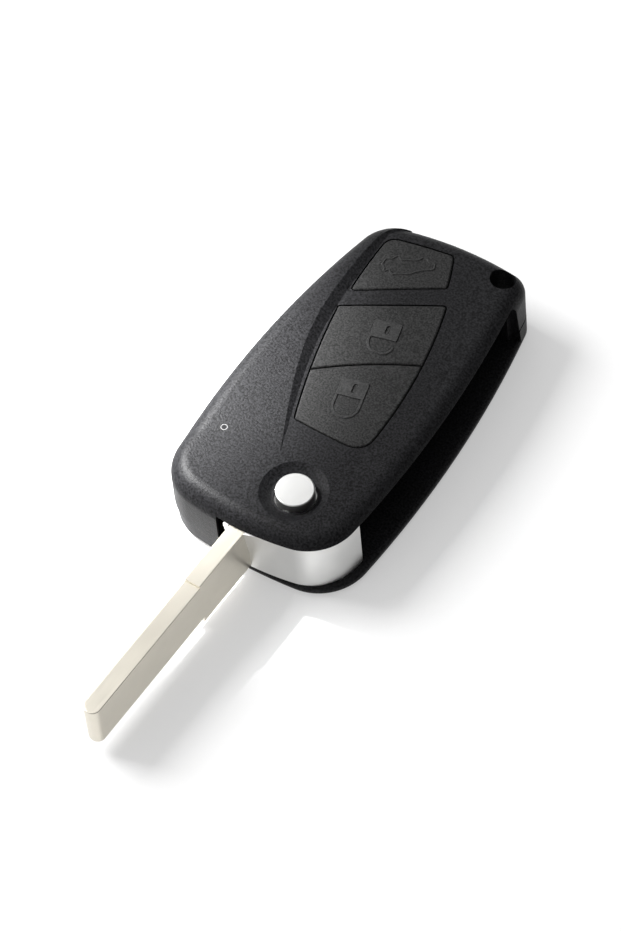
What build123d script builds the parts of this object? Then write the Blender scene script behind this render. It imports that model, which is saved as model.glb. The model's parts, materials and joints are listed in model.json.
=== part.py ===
from build123d import *
from math import atan2, degrees, hypot, radians, tan
import os

# A flip key with a three-button remote in it, laid on its back, in millimetres.
# The origin is the pivot of the blade, at the height of the back face. +Z is up through the
# buttons, the open blade points along -Y, the key ring end is at +Y, and the blade folds round by
# way of +X into the open channel along the right side.

# Blade. It folds into the case, so its reach and its height also set those of the case.
blade_thickness = 3.05
blade_offset = 4.675
blade_root_height = 10.4
blade_shoulder_step = 0.55
blade_tip_reach = 50.6
blade_shoulder_reach = 22.2
blade_tang_reach = 6.2
blade_tip_round = 1.45
blade_tip_sole_round = 0.9
blade_edge_round = 0.18
blade_drop = 0.3
blade_headroom = 0.2

# Outline of the case, seen from above: four bowed sides between four rounded corners
far_right_beyond_tip = 5.8
far_left_beyond_tip = 2.7
corner_front_left = (-21.6, -8.2)
corner_front_right = (12.3, -7.0)
corner_far_right = (7.7, blade_tip_reach + far_right_beyond_tip)
corner_far_left = (-19.95, blade_tip_reach + far_left_beyond_tip)
bow_front = 1.65
bow_right = 2.6
bow_far = 1.4
bow_left = 2.6
round_front_left = 8.6
round_front_right = 9.4
round_far_right = 3.5
round_far_left = 7.3

# The lid stands back from the rim of the base where the blade comes through
lid_corner_setback = (0.9, -0.15)
lid_bow_front = 2.55
lid_bow_right = 2.65
lid_round_front_right = 9.3

# Heights above the back face
lid_thickness = 2.2
swoosh_rise = 0.7
floor_level = 2.0
bay_floor_level = 1.6
parting_level = 5.2
roof_level = floor_level + blade_drop + blade_root_height + blade_headroom
lid_level = roof_level + lid_thickness
swoosh_level = lid_level + swoosh_rise

# Case walls and form
wall = 1.5
inner_wall = 1.2
lid_tilt = 0.6
lid_crown_radius = 230.0
lid_crest_x = -4.0
lid_edge_round = 3.4
swoosh_arch_radius = 400.0
swoosh_crest_y = 27.0
swoosh_bank = 1.2
crease_points = [
    (7.0, -20.0), (3.0, -8.0), (-1.9, 4.5), (-4.8, 11.4), (-8.5, 20.0),
    (-11.9, 30.0), (-13.5, 40.0), (-14.6, 52.5), (-15.5, 70.0),
]
crease_slope = 62.0
bank_depth = 2.2
base_edge_round = 1.0
sill_edge_round = 0.7
parting_groove = 0.25
lip_width = 0.55
lip_height = 0.8
lip_play = 0.1
bite = 0.4

# Pivot head
head_setback = 0.6
head_gap = 0.12
hub_radius = 8.8
head_lobe_end = 1.5
head_cheek = 1.0
head_nose_reach = 10.3
gusset_width = 4.2
gusset_foot_reach = 8.8
journal_radius = 5.2
journal_clearance = 0.06
pin_margin = 1.4
pin_reach = blade_tang_reach + pin_margin
pin_radius = 0.7
pin_wall = 0.25
pin_length = 7.0
lug_groove_radius = 6.2
keyway_width = 2.6
cavity_clearance = 0.6
lug_play = 0.3

# Release button
release_radius = 3.26
release_proud = 0.4
release_level = lid_level + release_proud
release_travel = 1.8
release_gap = 0.28
release_chamfer = 0.15
release_flange_radius = 4.3
release_flange = 1.4
release_hub_radius = 3.2
release_hub = 1.5
release_guide_radius = 1.9
lug_reach = 5.9
lug_width = 2.0
lug_height = 1.2
dish_radius = 5.85
dish_floor_radius = 3.95
dish_depth = 1.25
guide_roof = 1.3
guide_overlap = 1.5
collar_wall = 0.62
collar_depth = 1.4

# Flip spring and the cup that it stands in
spring_wire = 0.75
spring_radius = 3.85
spring_turns = 4
spring_sides = 8
cup_rim_height = 1.9
cup_rim_wall = 0.55
cup_floor = 0.9
cup_spigot_radius = 3.0
cup_spigot_flat = 2.3
cup_spigot_depth = 1.1
cup_spigot_play = 0.05
cup_post_radius = 1.7

# Channel for the folded blade
channel_wall_gap = 0.5
channel_tip_gap = 0.25
mouth_beyond_blade = 0.8
mouth_lean = 7.0
mouth_corner_round = 1.2
opening_left = -8.8
opening_right_y = -1.0

# Buttons. Places along the case are shares of the reach of the blade, or stand back from its tip.
trunk_beyond_tip = 2.5
trunk_corners = [
    (-15.75, 0.744 * blade_tip_reach), (-2.0, 0.923 * blade_tip_reach),
    (-4.9, blade_tip_reach + trunk_beyond_tip), (-16.6, blade_tip_reach),
]
trunk_bows = [0, 0.15, 0.15, 0.25]
trunk_rounds = [0.7, 0.7, 1.0, 2.4]
lock_pair_corners = [
    (-15.65, 0.68 * blade_tip_reach), (-8.45, 11.45), (5.05, 12.1),
    (-0.1, 0.871 * blade_tip_reach),
]
lock_pair_bows = [0.55, 0.25, 1.55, 0]
lock_pair_rounds = [0.7, 0.7, 3.4, 0.7]
divider_arch = [
    (-20.0, 0.254 * blade_tip_reach), (-4.0, 0.538 * blade_tip_reach),
    (12.0, 0.706 * blade_tip_reach),
]
pocket_depth = 1.2
button_proud = 0.12
button_gap = 0.2
button_travel = 0.4
button_lift = 0.48
button_edge_round = 0.35
stem_radius = 1.4
stem_window_gap = 0.2
snap_overlap = 0.3
snap_height = 0.8
snap_play = 0.1
stem_play = 0.05

# Key ring eye and status window
eye_beyond_tip = 3.1
eye_at = (4.3, blade_tip_reach + eye_beyond_tip)
eye_radius = 2.2
eye_wall = 1.1
eye_chamfer = 0.35
window_at = (-17.1, 4.1)
window_radius = 0.6
window_recess = 0.35
lens_play = 0.03
lens_flange_radius = 1.2
lens_flange = 0.8
lens_gap = 0.2

# Electronics
board_level = 6.6
board_thickness = 1.0
board_gap = 0.4
switch_side = 4.4
switch_height = 1.4
switch_plunger_radius = 1.0
switch_plunger_height = 0.6
trunk_stem_at = (-9.6, 0.901 * blade_tip_reach)
unlock_stem_at = (-6.4, 0.64 * blade_tip_reach)
lock_stem_at = (-3.6, 18.8)
cell_at = (-10.3, 0.636 * blade_tip_reach)
cell_radius = 10.0
cell_thickness = 3.2
cell_step = 0.25
cell_play = 0.15
cell_ring_wall = 0.7
cell_ring_height = 2.4
cell_cap_step = 1.2
clip_strip = 0.3
clip_width = 3.0
clip_pad = 3.0
clip_bend = 1.5
clip_grip = 0.8
post_places = [
    (-0.6, 22.6), (-19.3, 17.6), (-1.0, 0.929 * blade_tip_reach), (-17.6, 0.881 * blade_tip_reach),
]
post_radius = 1.2
post_hold = 0.1
screw_short_of_tip = 1.0
screw_places = [(-15.9, blade_tip_reach - screw_short_of_tip), (-18.0, -2.9)]
screw_shank_radius = 0.9
screw_head_radius = 1.75
screw_head_height = 1.3
screw_length = 8.0
screw_sink = 0.3
screw_play = 0.15
screw_cross = (2.0, 0.45, 0.7)
boss_wall = 1.0
chip_at = (-18.0, 5.8)
chip_size = (5.4, 10.6, 2.8)
chip_chamfer = 0.8
led_size = (1.6, 2.0, 0.7)
led_dome_radius = 0.7
microchip_at = (-15.2, 0.534 * blade_tip_reach)
microchip_size = (4.0, 5.2, 1.4)
microchip_lift = 0.1
leg_count = 4
leg_pitch = 1.27
leg_width = 0.4
leg_reach = 1.0
leg_height = 0.5
crystal_at = (-15.4, 0.763 * blade_tip_reach)
crystal_size = (2.6, 6.4, 1.6)
crystal_round = 1.2

# Derived places
blade_inner = -(blade_offset - blade_thickness / 2)
blade_outer = -(blade_offset + blade_thickness / 2)
blade_bottom = floor_level + blade_drop
blade_top = blade_bottom + blade_root_height
head_bottom = floor_level + head_gap
head_top = roof_level - head_gap
head_left = blade_outer - head_cheek
head_sweep = hypot(head_left, head_nose_reach)
cavity_radius = head_sweep + cavity_clearance
channel_wall_x = -blade_inner - channel_wall_gap
tip_centre_y = blade_tip_reach - blade_thickness / 2
tip_sweep = hypot(blade_offset, tip_centre_y) + blade_thickness / 2 + channel_tip_gap
mouth_x = -blade_outer + mouth_beyond_blade
flange_top = roof_level - snap_play
flange_bottom = flange_top - release_flange
lug_bottom = flange_bottom - lug_height
collar_radius = journal_radius - journal_clearance
board_top = board_level + board_thickness
plunger_top = board_top + switch_height + switch_plunger_height
cell_top = bay_floor_level + cell_thickness
headroom = lid_edge_round + bank_depth
far_away = 3 * corner_far_right[1]


def box(x0, x1, y0, y1, z0, z1):
    """Return a block between two corners."""
    middle = ((x0 + x1) / 2, (y0 + y1) / 2, (z0 + z1) / 2)
    return Pos(*middle) * Box(x1 - x0, y1 - y0, z1 - z0)


def post(at, radius, z0, z1):
    """Return an upright round post."""
    return Pos(at[0], at[1], (z0 + z1) / 2) * Cylinder(radius, z1 - z0)


def slab(face, z0, z1):
    """Return a plan face drawn at z = 0, standing from z0 to z1."""
    return extrude(Pos(0, 0, z0) * face, amount=z1 - z0, dir=(0, 0, 1))


def inner_side(start, end, bow, inset):
    """Plan region on the inner side of one side of an outline: a great disc, or a half plane."""
    first, last = Vector(*start), Vector(*end)
    along = (last - first).normalized()
    outward = Vector(along.Y, -along.X)
    middle = (first + last) / 2
    if bow:
        chord = (last - first).length
        radius = (chord ** 2 / 4 + bow ** 2) / (2 * bow)
        return Pos(middle - outward * (radius - bow)) * Circle(radius - inset)
    turn = Rot(0, 0, degrees(atan2(along.Y, along.X)))
    return Pos(middle - outward * (far_away / 2 + inset)) * turn * Rectangle(far_away, far_away)


def bowed_face(corners, bows, rounds, inset=0.0):
    """Return a face with bowed sides between rounded corners, listed counter-clockwise.

    An inset draws the same face further in, with all its sides and corners parallel.
    """
    face = Rectangle(far_away, far_away)
    for start, end, bow in zip(corners, corners[1:] + corners[:1], bows):
        face &= inner_side(start, end, bow, inset)
    for corner, radius in zip(corners, rounds):
        if radius > inset:
            nearest = face.vertices().sort_by_distance(Vector(*corner))[0]
            face = fillet(nearest, radius - inset)
    return face


def base_outline(inset=0.0):
    """Outline of the base, and of every closed side of the case."""
    return bowed_face(
        [corner_front_left, corner_front_right, corner_far_right, corner_far_left],
        [bow_front, bow_right, bow_far, bow_left],
        [round_front_left, round_front_right, round_far_right, round_far_left],
        inset,
    )


def lid_outline(inset=0.0):
    """Outline of the lid, set back at the front right where the blade swings out."""
    corner = (
        corner_front_right[0] - lid_corner_setback[0],
        corner_front_right[1] - lid_corner_setback[1],
    )
    return bowed_face(
        [corner_front_left, corner, corner_far_right, corner_far_left],
        [lid_bow_front, lid_bow_right, bow_far, bow_left],
        [round_front_left, lid_round_front_right, round_far_right, round_far_left],
        inset,
    )


def under_lid(level):
    """Everything below the crowned lid surface that passes the pivot at this level."""
    barrel = Rot(90, 0, 0) * Cylinder(lid_crown_radius, 2 * far_away)
    return Pos(lid_crest_x, 0, level) * Rot(-lid_tilt, 0, 0) * Pos(0, 0, -lid_crown_radius) * barrel


def under_swoosh():
    """Everything below the arched surface of the raised left side."""
    barrel = Rot(0, 90, 0) * Cylinder(swoosh_arch_radius, 2 * far_away)
    crest = Pos(0, swoosh_crest_y, swoosh_level) * Rot(0, -swoosh_bank, 0)
    return crest * Pos(0, 0, -swoosh_arch_radius) * barrel


def below(level):
    """Everything below a plane that is tilted as the lid is and passes the pivot at this level."""
    block = Pos(0, 0, -far_away / 2) * Box(2 * far_away, 2 * far_away, far_away)
    return Pos(0, 0, level) * Rot(-lid_tilt, 0, 0) * block


def crown_edges(body):
    """Return the edges round the topmost face of a body."""
    return body.faces().sort_by(Axis.Z)[-1].edges()


def foot_edges(body):
    """Return the edges round the lowest face of a body."""
    return body.faces().sort_by(Axis.Z)[0].edges()


def crease_line():
    """Foot of the soft crease, drawn towards the far end so that the face on its left looks up."""
    return Spline(*crease_points)


def flip_space():
    """Plan of the space that the head and the blade sweep through."""
    reach = far_away / 2
    cavity = Circle(cavity_radius)
    front = Pos((opening_left + reach) / 2, -reach / 2) * Rectangle(reach - opening_left, reach)
    middle = Pos((channel_wall_x + mouth_x) / 2, (opening_right_y + reach) / 2)
    channel = middle * Rectangle(mouth_x - channel_wall_x, reach - opening_right_y)
    return cavity + front + (channel & Circle(tip_sweep))


def mouth():
    """Open side of the channel, whose far end leans back under a rounded corner."""
    end_y = (tip_sweep ** 2 - mouth_x ** 2) ** 0.5
    profile = Polygon(
        (opening_right_y, 0),
        (end_y + roof_level * tan(radians(mouth_lean)), 0),
        (end_y, roof_level),
        (opening_right_y, roof_level),
        align=None,
    )
    top_corner = profile.vertices().sort_by_distance(Vector(end_y, roof_level))[0]
    profile = fillet(top_corner, mouth_corner_round)
    side_view = Plane(origin=(mouth_x, 0, 0), x_dir=(0, 1, 0), z_dir=(1, 0, 0))
    return extrude(side_view * profile, amount=far_away)


def bay(gap=0.0):
    """Plan of the room for the electronics, this far inside its walls."""
    reach = far_away / 2
    right_edge = channel_wall_x - inner_wall - gap
    front_edge = opening_left - inner_wall - gap
    keep_out = Circle(cavity_radius + inner_wall + gap)
    keep_out += Pos(right_edge + reach / 2, 0) * Rectangle(reach, 2 * reach)
    keep_out += Pos(front_edge + reach / 2, -reach / 2) * Rectangle(reach, reach)
    keep_out += Pos(*eye_at) * Circle(eye_radius + eye_wall + gap)
    return lid_outline(wall + gap) - keep_out


def trunk_plan(inset=0.0):
    """Opening of the trunk button."""
    return bowed_face(trunk_corners, trunk_bows, trunk_rounds, inset)


def lock_pair_plan(inset=0.0):
    """Opening that the lock and unlock buttons share."""
    return bowed_face(lock_pair_corners, lock_pair_bows, lock_pair_rounds, inset)


def side_of_divider(side):
    """Plan region on the far side (1) or the near side (-1) of the slit between the lock keys."""
    arch = Pos(0, side * button_gap / 2) * ThreePointArc(*divider_arch)
    start, end = arch @ 0, arch @ 1
    reach = side * far_away / 2
    outline = [
        arch,
        Line(end, (end.X, end.Y + reach)),
        Line((end.X, end.Y + reach), (start.X, start.Y + reach)),
        Line((start.X, start.Y + reach), start),
    ]
    return make_face(outline)


def lid_body():
    """Outer form of the lid: crowned top, rounded edges and the raised swoosh on the left."""
    blank = slab(lid_outline(), parting_level, lid_level + headroom)
    field = blank & under_lid(lid_level)
    field = fillet(crown_edges(field), lid_edge_round)
    raised = blank & under_swoosh()
    raised = fillet(crown_edges(raised), lid_edge_round)
    crease = crease_line()
    away = -far_away / 2
    left_side = make_face(
        [
            crease,
            Line(crease @ 1, (away, (crease @ 1).Y)),
            Line((away, (crease @ 1).Y), (away, (crease @ 0).Y)),
            Line((away, (crease @ 0).Y), crease @ 0),
        ]
    )
    foot_level = lid_level - bank_depth
    bank = slab(left_side, parting_level, foot_level)
    bank += extrude(Pos(0, 0, foot_level) * left_side, amount=headroom, taper=crease_slope)
    return field + (raised & bank)


def top_shell():
    shell = lid_body()
    shell -= slab(bay(), 0, roof_level)
    shell -= slab(flip_space(), 0, roof_level)
    shell -= mouth()
    shell -= slab(bay(-lip_width - lip_play), 0, parting_level + lip_height + lip_play)
    shell += release_collar()
    shell -= release_well()
    for plan in (trunk_plan(), lock_pair_plan()):
        shell -= slab(plan, roof_level, lid_level + headroom) - below(lid_level - pocket_depth)
    for at in (trunk_stem_at, unlock_stem_at, lock_stem_at):
        shell -= post(at, stem_radius + stem_window_gap, roof_level - bite, lid_level)
    shell -= post(window_at, window_radius, roof_level - bite, lid_level + headroom)
    shell -= eye()
    for at in post_places:
        shell += post(at, post_radius, board_top + post_hold, roof_level + bite)
    for at in screw_places:
        shell += post(at, screw_shank_radius + boss_wall, parting_level, roof_level + bite)
        shell -= post(at, screw_shank_radius, 0, screw_sink + screw_length + bite)
    return shell


def release_collar():
    """Ring under the lid that the head turns on."""
    ring = post((0, 0), collar_radius, roof_level - collar_depth, roof_level + bite)
    return ring - post((0, 0), collar_radius - collar_wall, 0, roof_level)


def release_well():
    """Dished recess and bore for the release button."""
    bore = post((0, 0), release_radius + release_gap, roof_level - bite, lid_level + headroom)
    slope = (dish_radius - dish_floor_radius) / dish_depth
    height = dish_depth + swoosh_rise + bite
    dish = Cone(dish_floor_radius, dish_floor_radius + slope * height, height)
    return bore + Pos(0, 0, lid_level - dish_depth + height / 2) * dish


def eye():
    """Key ring hole with a small chamfer where it leaves the back."""
    hole = post(eye_at, eye_radius, -bite, lid_level + headroom)
    flare = Cone(eye_radius + eye_chamfer, eye_radius, eye_chamfer)
    return hole + Pos(eye_at[0], eye_at[1], eye_chamfer / 2) * flare


def bottom_shell():
    plan = base_outline()
    sill = slab(plan, 0, floor_level)
    sill = fillet(crown_edges(sill), sill_edge_round)
    sill = fillet(foot_edges(sill), base_edge_round)
    walls = slab(plan, 0, parting_level)
    walls = fillet(foot_edges(walls), base_edge_round)
    shell = sill + (walls - slab(flip_space(), 0, parting_level) - mouth())
    groove = plan - base_outline(parting_groove)
    shell -= slab(groove, parting_level - parting_groove, parting_level)
    shell += slab(bay(lip_play - lip_width) - flip_space(), floor_level, parting_level + lip_height)
    shell -= slab(bay(), bay_floor_level, parting_level + lip_height + bite)
    ring = post(cell_at, cell_radius + cell_play + cell_ring_wall,
                bay_floor_level - bite, bay_floor_level + cell_ring_height)
    shell += ring - post(cell_at, cell_radius + cell_play, bay_floor_level, parting_level)
    for at in post_places:
        shell += post(at, post_radius, bay_floor_level - bite, board_level)
    for at in screw_places:
        shell += post(at, screw_head_radius + boss_wall, bay_floor_level - bite, parting_level)
        shell -= post(at, screw_head_radius + screw_play, -bite, screw_sink + screw_head_height)
        shell -= post(at, screw_shank_radius + screw_play, 0, parting_level + bite)
    return shell - cup_spigot(cup_spigot_play) - eye()


def blade_head():
    """Silver pivot head: a hub with a lobe that closes the opening, and a nose for the blade."""
    reach = far_away / 2
    front = Pos((head_left + reach) / 2, (head_lobe_end - reach) / 2)
    lobe = lid_outline(head_setback) & front * Rectangle(reach - head_left, reach + head_lobe_end)
    head = slab(Circle(hub_radius) + lobe, head_bottom, head_top)
    head += blade_nose()
    head -= box(blade_outer, blade_inner, -reach, -blade_tang_reach, 0, roof_level + bite)
    head -= post((0, 0), journal_radius, 0, roof_level + bite)
    groove_bottom = lug_bottom - release_travel - lug_play
    head -= post((0, 0), lug_groove_radius, groove_bottom, flange_bottom + release_gap)
    head -= box(-lug_groove_radius, lug_groove_radius, -keyway_width / 2, keyway_width / 2,
                0, lug_bottom)
    return head - pin_bore()


def blade_nose():
    """Nose round the blade root, and the web that runs out to it from the silver face."""
    back = -blade_tang_reach
    profile = Polyline(
        (0, -gusset_foot_reach, head_bottom),
        (0, back, head_bottom),
        (0, back, head_top),
        (0, -head_nose_reach, head_top),
        close=True,
    )
    nose = extrude(Pos(head_left, 0, 0) * make_face(profile), amount=blade_inner - head_left,
                   dir=(1, 0, 0))
    web = ConvexPolyhedron(
        [
            (blade_inner, -gusset_foot_reach, head_bottom),
            (blade_inner, back, head_bottom),
            (blade_inner, -head_nose_reach, head_top),
            (blade_inner, back, head_top),
            (blade_inner + gusset_width, -gusset_foot_reach, head_top),
            (blade_inner + gusset_width, back, head_top),
        ]
    )
    return nose + web


def pin_place():
    """Middle of the roll pin, which lies across the blade tang."""
    across = head_left + pin_length / 2
    return Pos(across, -pin_reach, (blade_bottom + blade_top) / 2)


def pin_bore():
    """Cross hole for the roll pin through the cheek, the tang and the head."""
    return pin_place() * Rot(0, 90, 0) * Cylinder(pin_radius, pin_length)


def blade_pin():
    """Slotted roll pin that holds the blade in the head."""
    pin = pin_bore() - pin_place() * Rot(0, 90, 0) * Cylinder(pin_radius - pin_wall, pin_length)
    return pin - pin_place() * Pos(0, 0, pin_radius / 2) * Box(pin_length, pin_wall, pin_radius)


def key_blade():
    """Uncut blade: a taller root, a shoulder, and a tip that is rounded in plan."""
    root = box(blade_outer, blade_inner, -blade_shoulder_reach, -blade_tang_reach,
               blade_bottom, blade_top)
    cut = box(blade_outer, blade_inner, -blade_tip_reach, -blade_shoulder_reach,
              blade_bottom + blade_shoulder_step, blade_top - blade_shoulder_step)
    tip_corners = cut.edges().filter_by(Axis.Z).sort_by(Axis.Y)[:2]
    cut = fillet(tip_corners, blade_tip_round)
    cut = fillet(foot_edges(cut).sort_by(Axis.Y)[:3], blade_tip_sole_round)
    blade = root + cut
    long_edges = [
        e for e in blade.edges().filter_by(Axis.Y)
        if e.length > blade_shoulder_reach - head_nose_reach
    ]
    return fillet(long_edges, blade_edge_round) - pin_bore()


def release_button():
    """Silver push button with a flange, two lock lugs and a guide bore."""
    body = post((0, 0), release_radius, flange_bottom, release_level)
    body = chamfer(crown_edges(body), release_chamfer)
    body += post((0, 0), release_flange_radius, flange_bottom, flange_top)
    body += post((0, 0), release_hub_radius, flange_bottom - release_hub, flange_bottom)
    lugs = box(-lug_reach, lug_reach, -lug_width / 2, lug_width / 2, lug_bottom, flange_bottom)
    body += lugs & post((0, 0), lug_reach, lug_bottom, flange_bottom)
    return body - post((0, 0), release_guide_radius, 0, release_level - guide_roof)


def flip_spring():
    """Torsion coil that throws the blade out, between the cup and the lugs of the button.

    Its wire has a few flat sides, which keeps the coil light.
    """
    foot = floor_level + cup_floor + spring_wire / 2
    height = lug_bottom - spring_wire / 2 - foot
    path = Pos(0, 0, foot) * Helix(height / spring_turns, height, spring_radius)
    section = Plane(path @ 0, z_dir=path % 0) * RegularPolygon(spring_wire / 2, spring_sides)
    return sweep(section, path=path, is_frenet=True)


def spring_cup():
    """Cup that anchors the spring, keyed into the floor of the base."""
    rim_top = floor_level + cup_floor + cup_rim_height
    cup = post((0, 0), collar_radius, floor_level, rim_top)
    cup -= post((0, 0), collar_radius - cup_rim_wall, floor_level + cup_floor, rim_top)
    cup += cup_spigot()
    guide_top = flange_bottom - release_hub + guide_overlap
    return cup + post((0, 0), cup_post_radius, floor_level, guide_top)


def cup_spigot(play=0.0):
    """Spigot with two flats that keys the cup into the floor, or its socket where there is play."""
    foot = floor_level - cup_spigot_depth - play
    flat = cup_spigot_flat + play
    flats = box(-flat, flat, -far_away / 2, far_away / 2, foot, floor_level + play)
    return flats & post((0, 0), cup_spigot_radius + play, foot, floor_level + play)


def button_cap(plan, stem_at):
    """Rubber-faced key: a plate in its pocket and a stem with a snap collar under the lid."""
    plate_floor = lid_level - pocket_depth + button_lift
    plate = slab(plan, roof_level, lid_level + headroom) & under_lid(lid_level + button_proud)
    plate = fillet(crown_edges(plate), button_edge_round)
    plate -= below(plate_floor)
    stem_foot = plunger_top + button_travel + stem_play
    stem = post(stem_at, stem_radius, stem_foot, lid_level) & below(plate_floor + button_proud)
    collar_top = roof_level - snap_play
    collar_radius = stem_radius + stem_window_gap + snap_overlap
    return plate + stem + post(stem_at, collar_radius, collar_top - snap_height, collar_top)


def trunk_button():
    return button_cap(trunk_plan(button_gap), trunk_stem_at)


def unlock_button():
    return button_cap(lock_pair_plan(button_gap) & side_of_divider(1), unlock_stem_at)


def lock_button():
    return button_cap(lock_pair_plan(button_gap) & side_of_divider(-1), lock_stem_at)


def circuit_board():
    board = slab(bay(board_gap), board_level, board_top)
    for at in screw_places:
        board -= post(at, screw_head_radius + boss_wall + board_gap, board_level, board_top)
    return board


def tact_switch(at):
    """Push switch on the board under a button."""
    body = box(at[0] - switch_side / 2, at[0] + switch_side / 2,
               at[1] - switch_side / 2, at[1] + switch_side / 2,
               board_top, board_top + switch_height)
    return body + post(at, switch_plunger_radius, board_top, plunger_top)


def trunk_switch():
    return tact_switch(trunk_stem_at)


def unlock_switch():
    return tact_switch(unlock_stem_at)


def lock_switch():
    return tact_switch(lock_stem_at)


def coin_cell():
    """Coin cell: a can with a smaller cap on top."""
    can = post(cell_at, cell_radius, bay_floor_level, cell_top - cell_step)
    can = fillet(foot_edges(can), cell_step)
    return can + post(cell_at, cell_radius - cell_cap_step, cell_top - cell_step, cell_top)


def cell_contact_top():
    """Sprung strip from the board down to the cap of the cell."""
    profile = Polygon(
        (-clip_pad - 2 * clip_bend, board_level - clip_strip),
        (-2 * clip_bend, board_level - clip_strip),
        (-clip_bend, cell_top),
        (clip_bend, cell_top),
        (clip_bend, cell_top + clip_strip),
        (clip_strip / 2 - clip_bend, cell_top + clip_strip),
        (clip_strip / 2 - 2 * clip_bend, board_level),
        (-clip_pad - 2 * clip_bend, board_level),
        align=None,
    )
    side_view = Plane(origin=(*cell_at, 0), x_dir=(1, 0, 0), z_dir=(0, -1, 0))
    return extrude(side_view * profile, amount=clip_width / 2, both=True)


def cell_contact_side():
    """Clip from the board down to the rim of the can."""
    x, y = cell_at
    rim_y = y + cell_radius + cell_play
    ring_top = bay_floor_level + cell_ring_height
    can_top = cell_top - cell_step
    left, right = x - clip_width / 2, x + clip_width / 2
    leg = box(left, right, rim_y, rim_y + clip_strip, ring_top, board_level)
    pad = box(left, right, rim_y, rim_y + clip_pad, board_level - clip_strip, board_level)
    finger = box(left, right, y + cell_radius - clip_grip, rim_y + clip_strip,
                 can_top, can_top + clip_strip)
    return leg + pad + finger


def status_led():
    """Surface-mounted lamp under the status window."""
    wide, long, tall = led_size
    base_top = board_top + tall
    body = Pos(*window_at, board_top + tall / 2) * Box(wide, long, tall)
    dome = Pos(*window_at, base_top) * Sphere(led_dome_radius)
    return body + (dome & post(window_at, wide, base_top, lid_level))


def status_lens():
    """Light pipe from the lamp to just under the skin of the lid."""
    foot = board_top + led_size[2] + led_dome_radius + lens_gap
    pipe = post(window_at, window_radius - lens_play, foot, lid_level - window_recess)
    return pipe + post(window_at, lens_flange_radius, roof_level - lens_flange, roof_level)


def transponder_chip():
    """Glass-filled block that the car reads, in the corner of the base."""
    wide, long, tall = chip_size
    chip = Pos(*chip_at, bay_floor_level + tall / 2) * Box(wide, long, tall)
    return chamfer(chip.edges().filter_by(Axis.Z), chip_chamfer)


def microchip():
    """Controller in a flat package with legs along both sides."""
    wide, long, tall = microchip_size
    chip = Pos(*microchip_at, board_top + microchip_lift + tall / 2) * Box(wide, long, tall)
    for k in range(leg_count):
        along = leg_pitch * (k - (leg_count - 1) / 2)
        leg = Pos(microchip_at[0], microchip_at[1] + along, board_top + leg_height / 2)
        chip += leg * Box(wide + 2 * leg_reach, leg_width, leg_height)
    return chip


def crystal():
    """Timing crystal in a metal can."""
    can = Pos(*crystal_at, board_top + crystal_size[2] / 2) * Box(*crystal_size)
    return fillet(can.edges().filter_by(Axis.Z), crystal_round)


def case_screws():
    """Two screws from the back into the bosses of the lid."""
    screws = []
    for at in screw_places:
        screw = post(at, screw_head_radius, screw_sink, screw_sink + screw_head_height)
        screw += post(at, screw_shank_radius, screw_sink, screw_sink + screw_length)
        for turn in (0, 90):
            screw -= Pos(*at, screw_sink) * Rot(0, 0, turn) * Box(*screw_cross)
        screws.append(screw)
    return Compound(children=screws)


PIECES = [
    top_shell, bottom_shell, trunk_button, unlock_button, lock_button, release_button,
    blade_head, key_blade, blade_pin, flip_spring, spring_cup, case_screws, circuit_board,
    trunk_switch, unlock_switch, lock_switch, coin_cell, cell_contact_top, cell_contact_side,
    status_led, status_lens, transponder_chip, microchip, crystal,
]

os.makedirs("parts", exist_ok=True)
for piece in PIECES:
    export_step(piece(), f"parts/{piece.__name__}.step")
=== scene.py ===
"""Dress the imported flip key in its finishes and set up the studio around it."""

import json
import math

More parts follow.
